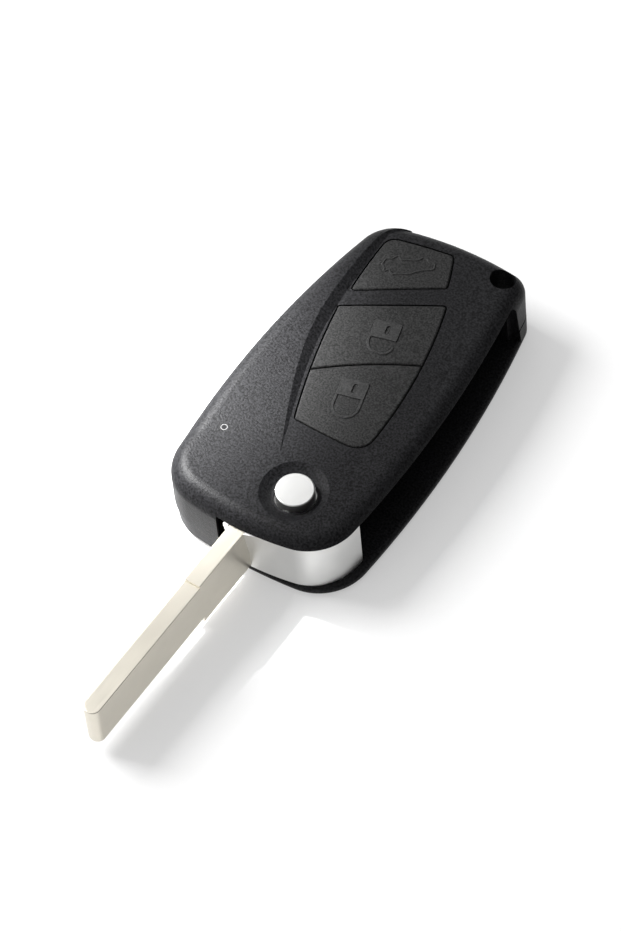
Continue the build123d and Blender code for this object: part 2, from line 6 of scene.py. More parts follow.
import bmesh
import bpy
from bpy.props import FloatProperty, FloatVectorProperty, PointerProperty
from bpy.types import Operator, Panel, PropertyGroup
from mathutils import Matrix, Vector
from mathutils.bvhtree import BVHTree
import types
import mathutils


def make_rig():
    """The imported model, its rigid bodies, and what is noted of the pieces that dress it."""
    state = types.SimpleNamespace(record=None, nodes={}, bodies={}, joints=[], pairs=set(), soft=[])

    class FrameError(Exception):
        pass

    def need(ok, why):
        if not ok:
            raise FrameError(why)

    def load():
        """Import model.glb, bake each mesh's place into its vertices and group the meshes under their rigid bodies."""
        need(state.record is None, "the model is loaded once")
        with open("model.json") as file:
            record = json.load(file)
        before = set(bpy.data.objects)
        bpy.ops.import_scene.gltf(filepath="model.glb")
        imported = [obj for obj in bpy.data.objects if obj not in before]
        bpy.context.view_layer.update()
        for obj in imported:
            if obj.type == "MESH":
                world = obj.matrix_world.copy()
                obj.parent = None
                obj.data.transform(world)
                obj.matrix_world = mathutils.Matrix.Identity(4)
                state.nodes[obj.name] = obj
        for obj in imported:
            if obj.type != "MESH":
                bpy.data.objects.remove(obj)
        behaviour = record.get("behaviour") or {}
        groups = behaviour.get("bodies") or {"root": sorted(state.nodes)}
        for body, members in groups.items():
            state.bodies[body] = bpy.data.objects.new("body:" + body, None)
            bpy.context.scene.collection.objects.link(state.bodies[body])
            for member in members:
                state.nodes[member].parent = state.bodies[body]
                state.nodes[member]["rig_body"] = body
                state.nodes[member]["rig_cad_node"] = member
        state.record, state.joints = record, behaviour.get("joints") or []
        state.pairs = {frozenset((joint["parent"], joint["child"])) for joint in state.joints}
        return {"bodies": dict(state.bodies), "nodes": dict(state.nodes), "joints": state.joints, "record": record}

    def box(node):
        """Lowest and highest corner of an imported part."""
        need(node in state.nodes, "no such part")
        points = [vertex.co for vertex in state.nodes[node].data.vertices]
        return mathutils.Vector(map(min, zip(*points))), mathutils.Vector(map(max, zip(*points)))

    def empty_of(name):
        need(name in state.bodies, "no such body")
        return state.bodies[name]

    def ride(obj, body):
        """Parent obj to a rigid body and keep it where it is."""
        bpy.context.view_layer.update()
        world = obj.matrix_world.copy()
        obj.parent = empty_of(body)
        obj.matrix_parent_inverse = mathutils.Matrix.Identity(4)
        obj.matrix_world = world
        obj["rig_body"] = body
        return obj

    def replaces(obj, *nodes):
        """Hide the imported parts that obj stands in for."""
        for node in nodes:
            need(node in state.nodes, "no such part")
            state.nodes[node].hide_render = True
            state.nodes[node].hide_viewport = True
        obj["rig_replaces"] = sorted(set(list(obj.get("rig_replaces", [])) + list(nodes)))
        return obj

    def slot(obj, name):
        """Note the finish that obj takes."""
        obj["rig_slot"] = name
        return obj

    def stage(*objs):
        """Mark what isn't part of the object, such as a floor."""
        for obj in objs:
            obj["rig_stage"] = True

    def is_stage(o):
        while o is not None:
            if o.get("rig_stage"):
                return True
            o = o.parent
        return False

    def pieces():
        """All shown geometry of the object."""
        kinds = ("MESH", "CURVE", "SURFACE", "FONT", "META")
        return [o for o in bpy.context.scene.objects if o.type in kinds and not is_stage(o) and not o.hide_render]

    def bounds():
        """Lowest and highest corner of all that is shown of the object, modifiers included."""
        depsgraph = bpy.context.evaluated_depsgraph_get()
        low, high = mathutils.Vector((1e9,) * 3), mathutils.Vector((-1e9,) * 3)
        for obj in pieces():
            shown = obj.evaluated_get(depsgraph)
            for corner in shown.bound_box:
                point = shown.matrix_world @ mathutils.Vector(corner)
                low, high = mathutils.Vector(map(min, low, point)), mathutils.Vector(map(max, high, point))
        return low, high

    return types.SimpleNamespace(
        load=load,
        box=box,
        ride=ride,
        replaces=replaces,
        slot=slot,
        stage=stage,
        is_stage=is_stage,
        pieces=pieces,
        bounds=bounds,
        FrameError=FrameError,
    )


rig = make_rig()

bl_info = {
    "name": "Flip key remote shell",
    "version": (1, 0, 0),
    "blender": (4, 5, 0),
    "location": "3D View > Sidebar > Flip key",
    "description": "Finishes, raised signs and studio for a flip key remote shell",
    "category": "Object",
}

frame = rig.load()
cad_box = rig.bounds()

# Lengths are in metres unless a comment says otherwise
MM = 0.001
SIZE_FILE = "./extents.json"

# Width of the photograph and its scale, in pixels, and the camera's sensor, in millimetres
PHOTO_WIDTH = 621
PIXELS_PER_MM = 6.1
SENSOR_WIDTH = 36.0

# Nearest and farthest distance that the camera sees
CLIP_NEAR = 0.05
CLIP_FAR = 20.0

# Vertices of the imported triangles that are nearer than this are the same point
MERGE_DISTANCE = 2e-6

# Ways to the lamps, as shares to the camera's right, level away from it and up
KEY_SIDE = (-0.6, 0.38, 0.72)
FLANK_SIDE = (-0.52, 0.46, 0.76)

# Soft key lamp: the point it faces, its distance and the side of its square
KEY_LAMP_TARGET = (-0.002, 0.01, 0.008)
KEY_LAMP_DISTANCE = 1.0
KEY_LAMP_SIZE = 0.42

# Pool of light on the left flank: its middle, its half width and half length, the way
# it lies, and the distance and radius of its lamp
POOL_AT = (-0.0285, 0.013, 0.015)
POOL_WIDTH = 0.0145
POOL_LENGTH = 0.04
POOL_ALONG = (-0.2, 1.0, 0.0)
POOL_DISTANCE = 0.4
POOL_LAMP_RADIUS = 0.012

# Surroundings: how squarely a direction faces the key lamp where they are dimmest and
# where they are brightest
WORLD_EDGES = (-0.2, 0.9)

# Floor: half its width, the two tints it is speckled with, their spacing, its roughness
FLOOR_REACH = 3.0
FLOOR_TINTS = ((0.90, 0.90, 0.90, 1), (0.92, 0.92, 0.92, 1))
FLOOR_SPACING = 2 * MM
FLOOR_ROUGHNESS = 0.9

# Moulded skin: levels of the fine noise at which a speck is darkest and lightest, and the shares of the colour that it
# leaves there. The specks are painted shade and painted highlight on the grain's bumps
BUMP_LIGHT_LEVELS = (0.35, 0.65)
BUMP_LIGHT_SHARES = (0.35, 1.65)

# Moulded skin: spacing of its colour's slow drift, the shares between which the colour
# drifts, how its roughness varies, and the detail of its patterns
DRIFT_SPACING = 9 * MM
DRIFT_SHARES = (0.85, 1.2)
SKIN_VARIES = (-0.06, 0.08)
SKIN_DETAIL = 3.0

# Metal: spacing of its marks and of the clouds in its colour, the shares between which
# the clouds move the colour, how its roughness varies, and the detail of its marks
MARK_SPACING = 0.25 * MM
CLOUD_SPACING = 6 * MM
CLOUD_SHARES = (0.93, 1.06)
METAL_VARIES = (-0.05, 0.08)
MARK_DETAIL = 4.0

# Height of the marks that roughen a fine, a usual and a coarse finish
FINE_RELIEF = 0.000002
USUAL_RELIEF = 0.000003
COARSE_RELIEF = 0.000004

# Stretch of a metal's marks: where they run no way in particular, on the release button
# and on the blade
EVEN = (1, 1, 1)
BUTTON_STRETCH = (1, 0.08, 1)
BLADE_STRETCH = (1, 0.05, 1)

# Radius to which the sharp edges of the keys and of the silver parts are softened, and
# the samples that this takes
KEY_EDGE_ROUND = 0.08 * MM
SILVER_EDGE_ROUND = 0.1 * MM
EDGE_SAMPLES = 4

# Angles in degrees beyond which an edge is shaded as sharp: on most pieces, on the two
# halves of the case, and on the blade, whose flat faces meet narrow bevels
SHARP_USUAL = 28.0
SHARP_CASE = 20.0
SHARP_BLADE = 8.0

KEYS = ("trunk", "unlock", "lock")

# Solder pad: its height, its number of sides and the share of its width that its top has
PAD_HEIGHT = 0.05 * MM
PAD_SIDES = 12
PAD_TAPER = 0.8

# Window in the lid: its radius, the width of the painted highlight ring at its edge, its colour, which is painted
# shade, and the ring's painted highlight colour, the ends of its roughness, the spacing of its specks and its shine
WINDOW_RADIUS = 0.57 * MM
WINDOW_HIGHLIGHT_WIDTH = 0.15 * MM
WINDOW_PAINTED_SHADE = (0.008, 0.008, 0.009, 1)
WINDOW_PAINTED_HIGHLIGHT = (0.3, 0.3, 0.3, 1)
WINDOW_ROUGHNESS = (0.5, 0.6)
WINDOW_SPACING = 0.4 * MM
WINDOW_SHINE = 0.1

# Depth to which the raised signs are sunk into their keys, so that no gap shows
SIGN_SUNK = 0.08 * MM

# Skin of the signs beside that of their keys: less rough, more shine, finer grain
SIGN_ROUGHNESS_DROP = 0.2
SIGN_SHINE_GAIN = 2.5
SIGN_GRAIN_SHARE = 1 / 3

# Steps in a rounded corner of a plate, and points in one of a line
CORNER_STEPS = 4
LINE_CORNER_POINTS = 5

# The signs, in millimetres: where each padlock's body starts, how it is turned, its
# keyhole, and the line of its shackle, which is cut short on the open one
PADLOCK_AT = {"unlock": (-5.22, 32.4), "lock": (-3.08, 19.8)}
PADLOCK_TURN = 16.0
PADLOCK_WIDTH = 4.9
PADLOCK_HEIGHT = 3.6
PADLOCK_CORNER = 0.35
KEYHOLE = (0.0, 1.0, 0.6, 2.7)
KEYHOLE_CORNER = 0.29
SHACKLES = {
    "unlock": ((-2.2, 0.1), (-2.2, -2.9), (2.2, -2.9), (2.2, -1.2)),
    "lock": ((-2.2, 0.1), (-2.2, -4.05), (2.2, -4.05), (2.2, 0.1)),
}
SHACKLE_CORNER = 2.2 * MM
CAR_CORNER = 0.35 * MM
CAR_OUTLINE = (
    (-12.55, 44.84), (-11.48, 44.19), (-11.04, 44.61), (-9.43, 45.54), (-8.75, 46.17),
    (-8.47, 46.75), (-7.53, 47.66), (-6.16, 48.76), (-6.68, 49.8), (-7.65, 49.64),
    (-8.38, 49.92), (-9.03, 50.01), (-9.35, 49.17), (-9.73, 48.74), (-11.22, 47.96),
    (-11.84, 47.4), (-12.53, 47.93), (-12.96, 47.87), (-13.34, 46.96), (-14.17, 46.52),
    (-14.29, 46.04), (-14.15, 45.23), (-13.25, 44.55), (-13.47, 43.25),
)

# Metals of the pin, the solder and the parts inside the case: colour, roughness, stretch
# of the marks and their height
METALS = {
    "pin_steel": ((0.45, 0.45, 0.46, 1.0), 0.35, (0.1, 1, 1), USUAL_RELIEF),
    "solder_tin": ((0.62, 0.62, 0.6, 1.0), 0.35, EVEN, USUAL_RELIEF),
    "spring_steel": ((0.42, 0.42, 0.43, 1.0), 0.3, EVEN, USUAL_RELIEF),
    "screw_steel": ((0.2, 0.2, 0.21, 1.0), 0.35, EVEN, USUAL_RELIEF),
    "cell_steel": ((0.7, 0.7, 0.68, 1.0), 0.25, EVEN, FINE_RELIEF),
    "contact_brass": ((0.75, 0.6, 0.33, 1.0), 0.3, (1, 0.2, 1), USUAL_RELIEF),
}

# Mouldings inside the case: colour, roughness, spacing of the grain and its height. The
# board's colour is a setting of the panel
BOARD_SKIN = (0.35, 0.6 * MM, COARSE_RELIEF)
MOULDINGS = {
    "moulded_black": ((0.02, 0.02, 0.02, 1.0), 0.4, 0.3 * MM, COARSE_RELIEF),
    "chip_glass": ((0.02, 0.02, 0.03, 1.0), 0.15, 0.5 * MM, FINE_RELIEF),
    "cup_white": ((0.6, 0.6, 0.57, 1.0), 0.45, 0.4 * MM, COARSE_RELIEF),
    "lamp_resin": ((0.5, 0.08, 0.05, 1.0), 0.2, 0.4 * MM, FINE_RELIEF),
}

# Which of them each node inside the case has
INSIDE_FINISHES = {
    "flip_spring": "spring_steel",
    "case_screws": "screw_steel",
    "coin_cell": "cell_steel",
    "crystal": "cell_steel",
    "cell_contact_top": "contact_brass",
    "cell_contact_side": "contact_brass",
    "trunk_switch": "moulded_black",
    "unlock_switch": "moulded_black",
    "lock_switch": "moulded_black",
    "microchip": "moulded_black",
    "transponder_chip": "chip_glass",
    "spring_cup": "cup_white",
    "status_led": "lamp_resin",
}


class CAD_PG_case(PropertyGroup):
    plastic_colour: FloatVectorProperty(
        name="Plastic",
        description="Colour of the moulded case",
        subtype="COLOR",
        size=4,
        min=0.0,
        max=1.0,
        default=(0.012, 0.012, 0.013, 1.0),
    )
    plastic_roughness: FloatProperty(
        name="Roughness",
        description="How matt the moulded case is",
        subtype="FACTOR",
        default=0.43,
    )
    plastic_shine: FloatProperty(
        name="Shine",
        description="How strongly the moulded case mirrors the studio",
        subtype="FACTOR",
        default=0.09,
    )
    grain_size: FloatProperty(
        name="Grain",
        description="Distance between the bumps of the eroded mould",
        unit="LENGTH",
        default=0.00034,
    )
    grain_depth: FloatProperty(
        name="Grain depth",
        description="Height of the bumps of the eroded mould",
        unit="LENGTH",
        default=0.00006,
    )
    edge_round: FloatProperty(
        name="Edge round",
        description="Radius to which sharp moulded edges are softened",
        unit="LENGTH",
        default=0.00012,
    )


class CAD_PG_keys(PropertyGroup):
    rubber_colour: FloatVectorProperty(
        name="Rubber",
        description="Colour of the soft keys",
        subtype="COLOR",
        size=4,
        min=0.0,
        max=1.0,
        default=(0.019, 0.019, 0.019, 1.0),
    )
    rubber_roughness: FloatProperty(
        name="Roughness",
        description="How matt the soft keys are",
        subtype="FACTOR",
        default=0.6,
    )
    rubber_shine: FloatProperty(
        name="Shine",
        description="How strongly the soft keys mirror the studio",
        subtype="FACTOR",
        default=0.15,
    )
    grain_size: FloatProperty(
        name="Grain",
        description="Distance between the bumps of the key's skin",
        unit="LENGTH",
        default=0.0003,
    )
    grain_depth: FloatProperty(
        name="Grain depth",
        description="Height of the bumps of the key's skin",
        unit="LENGTH",
        default=0.00008,
    )
    sign_relief: FloatProperty(
        name="Sign relief",
        description="Height of the raised signs above the keys",
        unit="LENGTH",
        default=0.00017,
    )
    sign_slope: FloatProperty(
        name="Sign slope",
        description="Width of the sloping side of a raised line",
        unit="LENGTH",
        default=0.00024,
    )
    shackle_stroke: FloatProperty(
        name="Shackle stroke",
        description="Width of the flat top of the padlocks' lines",
        unit="LENGTH",
        default=0.00025,
    )
    car_stroke: FloatProperty(
        name="Car stroke",
        description="Width of the flat top of the line that draws the car",
        unit="LENGTH",
        default=0.00012,
    )


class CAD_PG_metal(PropertyGroup):
    silver_colour: FloatVectorProperty(
        name="Silver",
        description="Colour of the satin pivot head and release button",
        subtype="COLOR",
        size=4,
        min=0.0,
        max=1.0,
        default=(0.70, 0.70, 0.69, 1.0),
    )
    silver_roughness: FloatProperty(
        name="Silver roughness",
        description="How satin the pivot head is",
        subtype="FACTOR",
        default=0.34,
    )
    blade_colour: FloatVectorProperty(
        name="Blade",
        description="Colour of the nickel silver blade",
        subtype="COLOR",
        size=4,
        min=0.0,
        max=1.0,
        default=(0.74, 0.70, 0.61, 1.0),
    )
    blade_roughness: FloatProperty(
        name="Blade roughness",
        description="How brushed the blade is",
        subtype="FACTOR",
        default=0.3,
    )


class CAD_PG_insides(PropertyGroup):
    board_colour: FloatVectorProperty(
        name="Board",
        description="Colour of the board's solder mask",
        subtype="COLOR",
        size=4,
        min=0.0,
        max=1.0,
        default=(0.01, 0.09, 0.04, 1.0),
    )
    pad_size: FloatProperty(
        name="Solder pad",
        description="Width of one solder pad",
        unit="LENGTH",
        default=0.0007,
    )


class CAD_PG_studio(PropertyGroup):
    camera_elevation: FloatProperty(
        name="Elevation",
        description="Height of the camera above the horizon",
        subtype="ANGLE",
        default=math.radians(55.969),
    )
    camera_azimuth: FloatProperty(
        name="Azimuth",
        description="Turn of the camera round the object",
        subtype="ANGLE",
        default=math.radians(40.482),
    )
    camera_roll: FloatProperty(
        name="Roll",
        description="Turn of the camera about its own line of sight",
        subtype="ANGLE",
        default=math.radians(6.366),
    )
    camera_distance: FloatProperty(
        name="Distance",
        description="Distance of the camera from the pivot",
        unit="LENGTH",
        default=0.8,
    )
    camera_aside: FloatProperty(
        name="Aside",
        description="How far right of the pivot the camera looks",
        unit="LENGTH",
        default=0.002958,
    )
    camera_above: FloatProperty(
        name="Above",
        description="How far above the pivot the camera looks",
        unit="LENGTH",
        default=0.012226,
    )
    bright_side: FloatProperty(
        name="Bright side",
        description="Level of the surroundings behind the key and to its left",
        default=0.8,
    )
    dim_side: FloatProperty(
        name="Dim side",
        description="Level of the surroundings in front of the key and to its right",
        default=0.1,
    )
    floor_glow: FloatProperty(
        name="Floor glow",
        description="Share of plain white in the floor as the camera and mirrors see it",
        subtype="FACTOR",
        default=0.4,
    )
    key_lamp: FloatProperty(
        name="Key lamp",
        description="Power in watts of the soft lamp behind the key and to its left",
        default=11.0,
    )
    flank_lamp: FloatProperty(
        name="Flank lamp",
        description="Power in watts of the lamp whose soft pool of light lies on the left flank",
        default=75.0,
    )


def look():
    """Return the settings of the panel."""
    return bpy.context.scene.flip_key


def node_mesh(name):
    """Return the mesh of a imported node."""
    return frame["nodes"][name].data


def add_object(name, data):
    """Return a new object with this data, linked to the scene."""
    made = bpy.data.objects.new(name, data)
    bpy.context.scene.collection.objects.link(made)
    return made


def rounded_box(left, low, right, high, radius):
    """Return the outline of a box whose corners are rounded, as flat points."""
    points = []
    centres = (
        (right - radius, low + radius, -90),
        (right - radius, high - radius, 0),
        (left + radius, high - radius, 90),
        (left + radius, low + radius, 180),
    )
    for x, y, start in centres:
        for step in range(CORNER_STEPS + 1):
            angle = math.radians(start + 90 * step / CORNER_STEPS)
            points.append((x + radius * math.cos(angle), y + radius * math.sin(angle)))
    return points


def turned(points, origin, angle):
    """Return flat points turned by an angle in degrees and moved to an origin."""
    c = math.cos(math.radians(angle))
    s = math.sin(math.radians(angle))
    return [(origin[0] + u * c - v * s, origin[1] + u * s + v * c) for u, v in points]


# Materials


def new_material(name):
    """Return a material with its nodes, its links and its main shader."""
    material = bpy.data.materials.new(name)
    material.use_nodes = True
    nodes = material.node_tree.nodes
    links = material.node_tree.links
    shader = nodes["Principled BSDF"]
    return material, nodes, links, shader


def place(nodes):
    """Return the place on the object that patterns read."""
    return nodes.new("ShaderNodeTexCoord").outputs["Object"]


def noise(nodes, links, vector, spacing, detail=2.0, stretch=EVEN):
    """Return a noise pattern with this distance between its spots."""
    texture = nodes.new("ShaderNodeTexNoise")
    texture.inputs["Scale"].default_value = 1 / spacing
    texture.inputs["Detail"].default_value = detail
    mapping = nodes.new("ShaderNodeMapping")
    mapping.inputs["Scale"].default_value = stretch
    links.new(vector, mapping.inputs["Vector"])
    links.new(mapping.outputs["Vector"], texture.inputs["Vector"])
    return texture.outputs["Fac"]


def ramp(nodes, links, source, low, high, start=0.0, end=1.0):
    """Return a value that runs from low to high while its source runs from start to end."""
    node = nodes.new("ShaderNodeMapRange")
    node.inputs["From Min"].default_value = start
    node.inputs["From Max"].default_value = end
    node.inputs["To Min"].default_value = low
    node.inputs["To Max"].default_value = high
    links.new(source, node.inputs["Value"])
    return node.outputs["Result"]


def blend_colours(nodes, links, source, first, second):
    """Return a colour that runs from the first to the second with its source."""
    node = nodes.new("ShaderNodeMix")
    node.data_type = "RGBA"
    node.inputs["A"].default_value = first
    node.inputs["B"].default_value = second
    links.new(source, node.inputs["Factor"])
    return node.outputs["Result"]


def shade(colour, share):
    """Return a colour made darker or lighter by a share."""
    return (*(min(1.0, c * share) for c in colour[:3]), 1.0)


def grain(nodes, links, shader, source, height, edge_round=0.0):
    """Bump the surface by a pattern, on edges that are softened by a small radius."""
    bump = nodes.new("ShaderNodeBump")
    bump.inputs["Distance"].default_value = height
    bump.inputs["Strength"].default_value = 1.0
    links.new(source, bump.inputs["Height"])
    if edge_round:
        soft = nodes.new("ShaderNodeBevel")
        soft.samples = EDGE_SAMPLES
        soft.inputs["Radius"].default_value = edge_round
        links.new(soft.outputs["Normal"], bump.inputs["Normal"])
    links.new(bump.outputs["Normal"], shader.inputs["Normal"])


def moulded_material(name, colour, roughness, spacing, height, edge_round, shine=0.5):
    """Matt moulded skin: fine grain with specks of painted highlight and painted shade on its bumps, and colour and
    gloss that drift a little.
    """
    material, nodes, links, shader = new_material(name)
    where = place(nodes)
    drift = noise(nodes, links, where, DRIFT_SPACING, SKIN_DETAIL)
    fine = noise(nodes, links, where, spacing, SKIN_DETAIL)
    tint = blend_colours(nodes, links, drift, *(shade(colour, share) for share in DRIFT_SHARES))
    # Specks of painted highlight and painted shade, lighter where the grain's bumps rise
    speck = ramp(nodes, links, fine, *BUMP_LIGHT_SHARES, *BUMP_LIGHT_LEVELS)
    bump_lit_colour = nodes.new("ShaderNodeVectorMath")
    bump_lit_colour.operation = "SCALE"
    links.new(tint, bump_lit_colour.inputs[0])
    links.new(speck, bump_lit_colour.inputs["Scale"])
    links.new(bump_lit_colour.outputs["Vector"], shader.inputs["Base Color"])
    shader.inputs["Specular IOR Level"].default_value = shine
    rough = ramp(nodes, links, fine, *(roughness + step for step in SKIN_VARIES))
    links.new(rough, shader.inputs["Roughness"])
    grain(nodes, links, shader, fine, height, edge_round)
    return material


def metal_material(name, colour, roughness, stretch, height, edge_round=0.0):
    """Satin metal with fine marks, which are stretched where it is brushed."""
    material, nodes, links, shader = new_material(name)
    where = place(nodes)
    marks = noise(nodes, links, where, MARK_SPACING, MARK_DETAIL, stretch)
    cloud = noise(nodes, links, where, CLOUD_SPACING)
    tint = blend_colours(nodes, links, cloud, *(shade(colour, share) for share in CLOUD_SHARES))
    links.new(tint, shader.inputs["Base Color"])
    rough = ramp(nodes, links, marks, *(roughness + step for step in METAL_VARIES))
    links.new(rough, shader.inputs["Roughness"])
    shader.inputs["Metallic"].default_value = 1.0
    grain(nodes, links, shader, marks, height, edge_round)
    return material


# Pieces


def merged(mesh):
    """Return an edit mesh of a node's loose triangles, joined at their shared points."""
    edit = bmesh.new()
    edit.from_mesh(mesh)
    bmesh.ops.remove_doubles(edit, verts=edit.verts, dist=MERGE_DISTANCE)
    bmesh.ops.dissolve_degenerate(edit, edges=edit.edges, dist=MERGE_DISTANCE)
    return edit


def add_piece(name, mesh, material, body, slot, replaced=()):
    """Link a finished mesh as a piece of the key."""
    piece = add_object(name, mesh)
    mesh.materials.clear()
    mesh.materials.append(material)
    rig.ride(piece, body)
    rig.slot(piece, slot)
    if replaced:
        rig.replaces(piece, *replaced)
    return piece


def smooth_twin(node, name, material, body, slot, sharp=SHARP_USUAL):
    """Stand a smoothly shaded copy of a node's own shape in its place."""
    edit = merged(node_mesh(node))
    limit = math.radians(sharp)
    edit.verts.index_update()
    points = [vertex.co.copy() for vertex in edit.verts]
    faces = [[vertex.index for vertex in face.verts] for face in edit.faces]
    marked = {
        frozenset(vertex.index for vertex in edge.verts)
        for edge in edit.edges
        if not edge.is_manifold or edge.calc_face_angle(0.0) > limit
    }
    edit.free()
    mesh = bpy.data.meshes.new(name)
    mesh.from_pydata(points, [], faces)
    mesh.shade_smooth()
    for edge in mesh.edges:
        edge.use_edge_sharp = frozenset(edge.vertices) in marked
    piece = add_piece(name, mesh, material, body, slot, [node])
    weigh = piece.modifiers.new("Even shading", "WEIGHTED_NORMAL")
    weigh.keep_sharp = True
    weigh.weight = 100


def new_tree(name, numbers):
    """Return a node tree that takes a mesh, these numbers and a material, and its inputs."""
    tree = bpy.data.node_groups.new(name, "GeometryNodeTree")
    sockets = tree.interface
    sockets.new_socket(name="Geometry", in_out="INPUT", socket_type="NodeSocketGeometry")
    for number in numbers:
        sockets.new_socket(name=number, in_out="INPUT", socket_type="NodeSocketFloat")
    sockets.new_socket(name="Material", in_out="INPUT", socket_type="NodeSocketMaterial")
    sockets.new_socket(name="Geometry", in_out="OUTPUT", socket_type="NodeSocketGeometry")
    return tree, tree.nodes.new("NodeGroupInput").outputs


def close_tree(tree, given, made):
    """End a node tree in real geometry that wears the given material."""
    nodes = tree.nodes
    links = tree.links
    whole = nodes.new("GeometryNodeRealizeInstances")
    finish = nodes.new("GeometryNodeSetMaterial")
    result = nodes.new("NodeGroupOutput")
    links.new(made, whole.inputs["Geometry"])
    links.new(whole.outputs["Geometry"], finish.inputs["Geometry"])
    links.new(given["Material"], finish.inputs["Material"])
    links.new(finish.outputs["Geometry"], result.inputs["Geometry"])


def stroke_tree():
    """Build the node tree that lays a flat-topped line with sloping sides along a path."""
    tree, given = new_tree("raised_line", ("Width", "Height", "Slope", "Corner"))
    nodes = tree.nodes
    links = tree.links
    path = nodes.new("GeometryNodeMeshToCurve")
    rounded = nodes.new("GeometryNodeFilletCurve")
    rounded.mode = "POLY"
    rounded.inputs["Count"].default_value = LINE_CORNER_POINTS
    rounded.inputs["Limit Radius"].default_value = True
    upright = nodes.new("GeometryNodeSetCurveNormal")
    upright.mode = "Z_UP"
    foot = nodes.new("ShaderNodeMath")
    foot.operation = "MULTIPLY_ADD"
    foot.inputs[1].default_value = 2.0  # A slope on either side
    section = nodes.new("GeometryNodeCurvePrimitiveQuadrilateral")
    section.mode = "TRAPEZOID"
    section.inputs["Offset"].default_value = 0.0
    line = nodes.new("GeometryNodeCurveToMesh")
    line.inputs["Fill Caps"].default_value = True
    flat = nodes.new("GeometryNodeSetShadeSmooth")
    flat.inputs["Shade Smooth"].default_value = False
    links.new(given["Geometry"], path.inputs["Mesh"])
    links.new(path.outputs["Curve"], rounded.inputs["Curve"])
    links.new(given["Corner"], rounded.inputs["Radius"])
    links.new(rounded.outputs["Curve"], upright.inputs["Curve"])
    links.new(upright.outputs["Curve"], line.inputs["Curve"])
    links.new(given["Slope"], foot.inputs[0])
    links.new(given["Width"], foot.inputs[2])
    links.new(given["Width"], section.inputs["Bottom Width"])
    links.new(foot.outputs["Value"], section.inputs["Top Width"])
    links.new(given["Height"], section.inputs["Height"])
    links.new(section.outputs["Curve"], line.inputs["Profile Curve"])
    links.new(line.outputs["Mesh"], flat.inputs["Geometry"])
    close_tree(tree, given, flat.outputs["Geometry"])
    return tree


def plain_mesh(holder):
    """Return the finished mesh of a holder object, which is removed."""
    graph = bpy.context.evaluated_depsgraph_get()
    mesh = bpy.data.meshes.new_from_object(holder.evaluated_get(graph))
    bpy.data.objects.remove(holder)
    return mesh


def grown(mesh, tree, values):
    """Return the plain mesh that a node tree makes of a mesh with these named inputs."""
    holder = add_object("holder", mesh)
    modifier = holder.modifiers.new("Growth", "NODES")
    modifier.node_group = tree
    for socket in tree.interface.items_tree:
        if socket.in_out == "INPUT" and socket.name in values:
            modifier[socket.identifier] = values[socket.name]
    holder.update_tag()
    return plain_mesh(holder)


def pad_tree():
    """Build the node tree that puts a low round pad on every point of a mesh."""
    tree, given = new_tree("solder_pads", ("Radius", "Height"))
    nodes = tree.nodes
    links = tree.links
    pad = nodes.new("GeometryNodeMeshCone")
    pad.inputs["Vertices"].default_value = PAD_SIDES
    slimmer = nodes.new("ShaderNodeMath")
    slimmer.operation = "MULTIPLY"
    slimmer.inputs[1].default_value = PAD_TAPER
    spread = nodes.new("GeometryNodeInstanceOnPoints")
    links.new(given["Radius"], pad.inputs["Radius Bottom"])
    links.new(given["Radius"], slimmer.inputs[0])
    links.new(slimmer.outputs["Value"], pad.inputs["Radius Top"])
    links.new(given["Height"], pad.inputs["Depth"])
    links.new(given["Geometry"], spread.inputs["Points"])
    links.new(pad.outputs["Mesh"], spread.inputs["Instance"])
    close_tree(tree, given, spread.outputs["Instances"])
    return tree


def path_mesh(points, closed):
    """Return a mesh of edges through flat points in millimetres."""
    mesh = bpy.data.meshes.new("path")
    edges = [(k, k + 1) for k in range(len(points) - 1)]
    if closed:
        edges.append((len(points) - 1, 0))
    mesh.from_pydata([(x * MM, y * MM, 0.0) for x, y in points], edges, [])
    return mesh


def plate_mesh(outlines, slope, height):
    """Return a flat plate with sloping edges inside these outlines, the later ones cut out."""
    curve = bpy.data.curves.new("plate", "CURVE")
    curve.dimensions = "2D"
    curve.fill_mode = "BOTH"
    for outline in outlines:
        spline = curve.splines.new("POLY")
        spline.points.add(len(outline) - 1)
        spline.use_cyclic_u = True
        for point, (x, y) in zip(spline.points, outline):
            point.co = (x * MM, y * MM, 0.0, 1.0)
    curve.bevel_depth = slope
    curve.bevel_resolution = 0
    curve.offset = -slope
    curve.extrude = height / 2 - slope
    return plain_mesh(add_object("plate", curve))


def laid_on(parts, node, relief, height):
    """Join flat parts into one mesh that follows the top of a node and stands out of it."""
    carrier = node_mesh(node)
    corners = [vertex.co for vertex in carrier.vertices]
    faces = [tuple(face.vertices) for face in carrier.polygons]
    surface = BVHTree.FromPolygons(corners, faces, epsilon=0.001 * MM)
    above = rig.box(node)[1][2] + 1 * MM
    edit = bmesh.new()
    for part in parts:
        edit.from_mesh(part)
    for vertex in edit.verts:
        start = Vector((vertex.co.x, vertex.co.y, above))
        hit = surface.ray_cast(start, Vector((0, 0, -1)))[0]
        if hit is None:
            raise RuntimeError(f"a sign reaches past the edge of {node}")
        vertex.co.z += hit.z + relief - height / 2
    bmesh.ops.remove_doubles(edit, verts=edit.verts, dist=MERGE_DISTANCE)
    bmesh.ops.recalc_face_normals(edit, faces=edit.faces)
    mesh = bpy.data.meshes.new("sign")
    edit.to_mesh(mesh)
    edit.free()
    return mesh


def dress(node, material):
    """Give a node that stays as it is a better material."""
    for slot in frame["nodes"][node].material_slots:
        slot.material = material


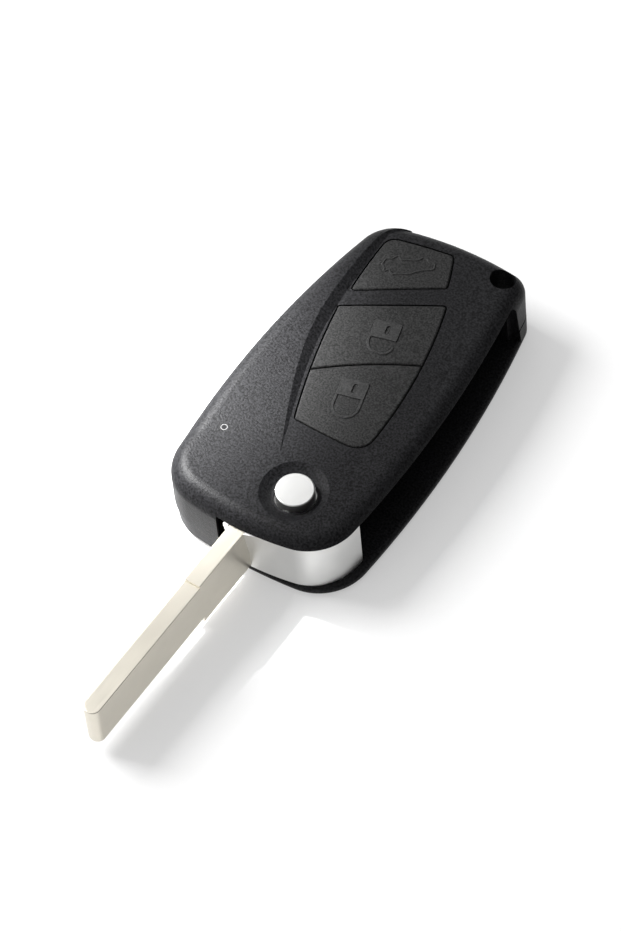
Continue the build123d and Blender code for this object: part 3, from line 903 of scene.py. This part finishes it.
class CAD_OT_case(Operator):
    """Lid and base in grained black plastic, with the small window in the lid."""

    bl_idname = "flip_key.case"
    bl_label = "Case"

    def execute(self, context):
        case = look().case
        plastic = moulded_material(
            "case_plastic", case.plastic_colour, case.plastic_roughness,
            case.grain_size, case.grain_depth, case.edge_round, case.plastic_shine,
        )
        smooth_twin("top_shell", "lid", plastic, "case", "shell", SHARP_CASE)
        smooth_twin("bottom_shell", "base", plastic, "case", "shell", SHARP_CASE)
        dress("status_lens", self.window_material())
        return {"FINISHED"}

    def window_material(self):
        """Dark window, its colour painted shade, whose edge shows a painted highlight as a pale ring."""
        low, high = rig.box("status_lens")
        middle = (Vector(low) + Vector(high)) / 2
        material, nodes, links, shader = new_material("window_painted_light")
        where = place(nodes)
        centred = nodes.new("ShaderNodeVectorMath")
        centred.operation = "SUBTRACT"
        centred.inputs[1].default_value = middle
        flat = nodes.new("ShaderNodeVectorMath")
        flat.operation = "MULTIPLY"
        flat.inputs[1].default_value = (1.0, 1.0, 0.0)
        away = nodes.new("ShaderNodeVectorMath")
        away.operation = "LENGTH"
        links.new(where, centred.inputs[0])
        links.new(centred.outputs["Vector"], flat.inputs[0])
        links.new(flat.outputs["Vector"], away.inputs[0])
        # The window's dark colour is painted shade and the pale ring at its edge is a painted highlight
        inner = WINDOW_RADIUS - WINDOW_HIGHLIGHT_WIDTH
        highlight_ring = ramp(nodes, links, away.outputs["Value"], 0.0, 1.0, inner, WINDOW_RADIUS)
        tint = blend_colours(nodes, links, highlight_ring, WINDOW_PAINTED_SHADE, WINDOW_PAINTED_HIGHLIGHT)
        links.new(tint, shader.inputs["Base Color"])
        speck = noise(nodes, links, where, WINDOW_SPACING)
        links.new(ramp(nodes, links, speck, *WINDOW_ROUGHNESS), shader.inputs["Roughness"])
        shader.inputs["Specular IOR Level"].default_value = WINDOW_SHINE
        return material


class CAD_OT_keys(Operator):
    """Three soft keys."""

    bl_idname = "flip_key.keys"
    bl_label = "Keys"

    def execute(self, context):
        keys = look().keys
        rubber = moulded_material(
            "key_rubber", keys.rubber_colour, keys.rubber_roughness,
            keys.grain_size, keys.grain_depth, KEY_EDGE_ROUND, keys.rubber_shine,
        )
        for key in KEYS:
            smooth_twin(f"{key}_button", f"{key}_cap", rubber, f"{key}_key", "keys")
        return {"FINISHED"}


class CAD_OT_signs(Operator):
    """Raised signs on the keys: a car with its boot open, an open and a closed padlock."""

    bl_idname = "flip_key.signs"
    bl_label = "Signs"

    def execute(self, context):
        keys = look().keys
        self.rubber = moulded_material(
            "sign_rubber", keys.rubber_colour, keys.rubber_roughness - SIGN_ROUGHNESS_DROP,
            keys.grain_size, keys.grain_depth * SIGN_GRAIN_SHARE, 0.0,
            keys.rubber_shine * SIGN_SHINE_GAIN,
        )
        self.tree = stroke_tree()
        self.height = keys.sign_relief + SIGN_SUNK
        for key in KEYS:
            node = f"{key}_button"
            parts = self.car() if key == "trunk" else self.padlock(key)
            mesh = laid_on(parts, node, keys.sign_relief, self.height)
            add_piece(f"{key}_sign", mesh, self.rubber, f"{key}_key", "keys")
        return {"FINISHED"}

    def line(self, points, closed, width, corner):
        """Return a raised line of this width through flat points."""
        values = {
            "Width": width,
            "Height": self.height,
            "Slope": look().keys.sign_slope,
            "Corner": corner,
            "Material": self.rubber,
        }
        return grown(path_mesh(points, closed), self.tree, values)

    def car(self):
        """Return the parts of the car with its boot open."""
        return [self.line(CAR_OUTLINE, True, look().keys.car_stroke, CAR_CORNER)]

    def padlock(self, key):
        """Return the parts of the open or the closed padlock."""
        keys = look().keys
        foot = PADLOCK_AT[key]
        half = PADLOCK_WIDTH / 2
        body = rounded_box(-half, 0, half, PADLOCK_HEIGHT, PADLOCK_CORNER)
        hole = rounded_box(*KEYHOLE, KEYHOLE_CORNER)
        outlines = [turned(outline, foot, PADLOCK_TURN) for outline in (body, hole)]
        loop = turned(SHACKLES[key], foot, PADLOCK_TURN)
        return [
            plate_mesh(outlines, keys.sign_slope / 2, self.height),
            self.line(loop, False, keys.shackle_stroke, SHACKLE_CORNER),
        ]


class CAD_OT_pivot(Operator):
    """Satin pivot head and the brushed release button."""

    bl_idname = "flip_key.pivot"
    bl_label = "Pivot"

    def execute(self, context):
        metal = look().metal
        satin = metal_material(
            "satin_silver", metal.silver_colour, metal.silver_roughness, EVEN,
            USUAL_RELIEF, SILVER_EDGE_ROUND,
        )
        brushed = metal_material(
            "brushed_silver", metal.silver_colour, metal.silver_roughness, BUTTON_STRETCH,
            COARSE_RELIEF, SILVER_EDGE_ROUND,
        )
        smooth_twin("blade_head", "pivot_head", satin, "blade", "silver")
        smooth_twin("release_button", "release_cap", brushed, "release", "silver")
        return {"FINISHED"}


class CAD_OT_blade(Operator):
    """Uncut blade and its roll pin."""

    bl_idname = "flip_key.blade"
    bl_label = "Blade"

    def execute(self, context):
        metal = look().metal
        nickel = metal_material(
            "nickel_silver", metal.blade_colour, metal.blade_roughness, BLADE_STRETCH, USUAL_RELIEF,
        )
        smooth_twin("key_blade", "blade", nickel, "blade", "blade", SHARP_BLADE)
        dress("blade_pin", metal_material("pin_steel", *METALS["pin_steel"]))
        return {"FINISHED"}


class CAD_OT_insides(Operator):
    """Spring, screws, board, cell and the parts on the board."""

    bl_idname = "flip_key.insides"
    bl_label = "Insides"

    def execute(self, context):
        insides = look().insides
        dress("circuit_board", moulded_material("board_mask", insides.board_colour, *BOARD_SKIN, 0.0))
        made = {}
        for node, finish in INSIDE_FINISHES.items():
            if finish not in made:
                made[finish] = self.finish(finish)
            dress(node, made[finish])
        self.solder(insides.pad_size)
        return {"FINISHED"}

    def finish(self, name):
        """Return the material of a finish that is listed at the top."""
        if name in METALS:
            return metal_material(name, *METALS[name])
        return moulded_material(name, *MOULDINGS[name], 0.0)

    def solder(self, pad_size):
        """Put a solder pad under each corner of the three switches."""
        tin = metal_material("solder_tin", *METALS["solder_tin"])
        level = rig.box("circuit_board")[1][2]
        points = []
        for key in KEYS:
            low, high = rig.box(f"{key}_switch")
            points += [(x, y, level) for x in (low[0], high[0]) for y in (low[1], high[1])]
        mesh = bpy.data.meshes.new("corners")
        mesh.from_pydata(points, [], [])
        values = {"Radius": pad_size / 2, "Height": PAD_HEIGHT, "Material": tin}
        add_piece("solder_pads", grown(mesh, pad_tree(), values), tin, "case", "steel")


def camera_axes(studio):
    """Right, up and forward of the camera before its roll."""
    turn = Matrix.Rotation(studio.camera_azimuth, 3, "Z")
    rise = studio.camera_elevation
    right = turn @ Vector((1, 0, 0))
    up = turn @ Vector((0, math.sin(rise), math.cos(rise)))
    forward = turn @ Vector((0, math.cos(rise), -math.sin(rise)))
    return right, up, forward


def key_lamp(away, level):
    """Hang the soft lamp in this direction, facing the key."""
    data = bpy.data.lights.new("key_softbox", "AREA")
    data.shape = "RECTANGLE"
    data.size = KEY_LAMP_SIZE
    data.size_y = KEY_LAMP_SIZE
    data.energy = level
    lamp = add_object("key_softbox", data)
    lamp.location = Vector(KEY_LAMP_TARGET) + away * KEY_LAMP_DISTANCE
    lamp.rotation_euler = away.to_track_quat("Z", "Y").to_euler()


def flank_lamp(away, level):
    """Hang the lamp whose cone is stretched to a long soft pool on the left flank."""
    data = bpy.data.lights.new("flank_spot", "SPOT")
    data.energy = level
    data.spot_size = 2 * math.atan(POOL_WIDTH / POOL_DISTANCE)
    data.spot_blend = 1.0
    data.shadow_soft_size = POOL_LAMP_RADIUS
    lamp = add_object("flank_spot", data)
    across = Vector(POOL_ALONG).normalized().cross(away).normalized()
    up = away.cross(across)
    turn = Matrix((across, up, away)).transposed().to_4x4()
    stretch = Matrix.Diagonal((1.0, POOL_LENGTH / POOL_WIDTH, 1.0, 1.0))
    lamp.matrix_world = Matrix.Translation(Vector(POOL_AT) + away * POOL_DISTANCE) @ turn @ stretch


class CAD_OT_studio(Operator):
    """Floor, lamps, surroundings and the camera of the photograph."""

    bl_idname = "flip_key.studio"
    bl_label = "Studio"

    def execute(self, context):
        studio = look().studio
        self.add_floor(studio)
        self.add_camera(context, studio)
        key_side = self.way(studio, KEY_SIDE)
        key_lamp(key_side, studio.key_lamp)
        flank_lamp(self.way(studio, FLANK_SIDE), studio.flank_lamp)
        self.set_world(context, studio, key_side)
        context.scene.view_settings.view_transform = "Standard"
        return {"FINISHED"}

    def way(self, studio, shares):
        """Return the direction with these shares to the camera's right, level away and up."""
        right, _, forward = camera_axes(studio)
        level_away = Vector((forward.x, forward.y, 0)).normalized()
        return (shares[0] * right + shares[1] * level_away + Vector((0, 0, shares[2]))).normalized()

    def add_floor(self, studio):
        """Pale floor that shows white to the camera and still takes the key's shadow."""
        material, nodes, links, shader = new_material("white_floor")
        speck = noise(nodes, links, place(nodes), FLOOR_SPACING)
        tint = blend_colours(nodes, links, speck, *FLOOR_TINTS)
        links.new(tint, shader.inputs["Base Color"])
        shader.inputs["Roughness"].default_value = FLOOR_ROUGHNESS
        shader.inputs["Specular IOR Level"].default_value = 0.0
        glow = nodes.new("ShaderNodeEmission")
        glow.inputs["Strength"].default_value = 1.0
        ray = nodes.new("ShaderNodeLightPath").outputs
        seen = ray["Is Camera Ray"]
        for kind in ("Is Glossy Ray", "Is Transmission Ray"):
            either = nodes.new("ShaderNodeMath")
            either.operation = "MAXIMUM"
            links.new(seen, either.inputs[0])
            links.new(ray[kind], either.inputs[1])
            seen = either.outputs["Value"]
        both = nodes.new("ShaderNodeMixShader")
        links.new(ramp(nodes, links, seen, 0.0, studio.floor_glow), both.inputs["Fac"])
        links.new(shader.outputs["BSDF"], both.inputs[1])
        links.new(glow.outputs["Emission"], both.inputs[2])
        links.new(both.outputs["Shader"], nodes["Material Output"].inputs["Surface"])
        edit = bmesh.new()
        bmesh.ops.create_grid(edit, x_segments=2, y_segments=2, size=FLOOR_REACH)
        mesh = bpy.data.meshes.new("floor")
        edit.to_mesh(mesh)
        edit.free()
        mesh.materials.append(material)
        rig.stage(add_object("floor", mesh))

    def add_camera(self, context, studio):
        """Stand the camera where it was solved to be for the photograph."""
        data = bpy.data.cameras.new("camera")
        data.sensor_fit = "HORIZONTAL"
        data.sensor_width = SENSOR_WIDTH
        focal_pixels = PIXELS_PER_MM * studio.camera_distance / MM
        data.lens = focal_pixels / PHOTO_WIDTH * SENSOR_WIDTH
        data.clip_start = CLIP_NEAR
        data.clip_end = CLIP_FAR
        right, up, forward = camera_axes(studio)
        roll = studio.camera_roll
        x_axis = right * math.cos(roll) - up * math.sin(roll)
        y_axis = right * math.sin(roll) + up * math.cos(roll)
        aim = right * studio.camera_aside + up * studio.camera_above
        place_at = aim - forward * studio.camera_distance
        camera = add_object("camera", data)
        turn = Matrix((x_axis, y_axis, -forward)).transposed()
        camera.matrix_world = Matrix.Translation(place_at) @ turn.to_4x4()
        context.scene.camera = camera

    def set_world(self, context, studio, key_side):
        """Surroundings that run from a bright side to a dim one."""
        world = bpy.data.worlds.new("surroundings")
        context.scene.world = world
        world.use_nodes = True
        nodes = world.node_tree.nodes
        links = world.node_tree.links
        background = nodes["Background"]
        background.inputs["Color"].default_value = (1.0, 1.0, 1.0, 1.0)
        towards = nodes.new("ShaderNodeVectorMath")
        towards.operation = "DOT_PRODUCT"
        links.new(nodes.new("ShaderNodeTexCoord").outputs["Generated"], towards.inputs[0])
        towards.inputs[1].default_value = key_side
        level = nodes.new("ShaderNodeMapRange")
        level.interpolation_type = "SMOOTHSTEP"
        level.inputs["From Min"].default_value = WORLD_EDGES[0]
        level.inputs["From Max"].default_value = WORLD_EDGES[1]
        level.inputs["To Min"].default_value = studio.dim_side
        level.inputs["To Max"].default_value = studio.bright_side
        links.new(towards.outputs["Value"], level.inputs["Value"])
        links.new(level.outputs["Result"], background.inputs["Strength"])


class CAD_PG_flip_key(PropertyGroup):
    case: PointerProperty(type=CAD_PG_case)
    keys: PointerProperty(type=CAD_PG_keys)
    metal: PointerProperty(type=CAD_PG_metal)
    insides: PointerProperty(type=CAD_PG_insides)
    studio: PointerProperty(type=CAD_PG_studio)


OPERATORS = (
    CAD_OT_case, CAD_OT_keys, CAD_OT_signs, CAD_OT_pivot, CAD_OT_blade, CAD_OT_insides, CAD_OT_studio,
)


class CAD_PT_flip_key(Panel):
    """Sizes, colours and steps of the flip key."""

    bl_idname = "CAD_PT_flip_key"
    bl_label = "Flip key"
    bl_space_type = "VIEW_3D"
    bl_region_type = "UI"
    bl_category = "Flip key"

    def draw(self, context):
        for group in (look().case, look().keys, look().metal, look().insides, look().studio):
            box = self.layout.box()
            for name in group.__annotations__:
                box.prop(group, name)
        for operator in OPERATORS:
            self.layout.operator(operator.bl_idname)


CLASSES = (
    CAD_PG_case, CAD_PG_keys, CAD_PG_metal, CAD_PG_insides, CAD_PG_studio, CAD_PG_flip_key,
    *OPERATORS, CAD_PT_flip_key,
)


def register():
    for cls in CLASSES:
        bpy.utils.register_class(cls)
    bpy.types.Scene.flip_key = PointerProperty(type=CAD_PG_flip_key)


def unregister():
    del bpy.types.Scene.flip_key
    for cls in reversed(CLASSES):
        bpy.utils.unregister_class(cls)


def main():
    register()
    bpy.ops.flip_key.case()
    bpy.ops.flip_key.keys()
    bpy.ops.flip_key.signs()
    bpy.ops.flip_key.pivot()
    bpy.ops.flip_key.blade()
    bpy.ops.flip_key.insides()
    bpy.ops.flip_key.studio()
    visual_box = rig.bounds()
    sizes = {
        "cad": [list(corner) for corner in cad_box],
        "visual": [list(corner) for corner in visual_box],
    }
    with open(SIZE_FILE, "w") as out:
        json.dump(sizes, out)


if __name__ == "__main__":
    main()
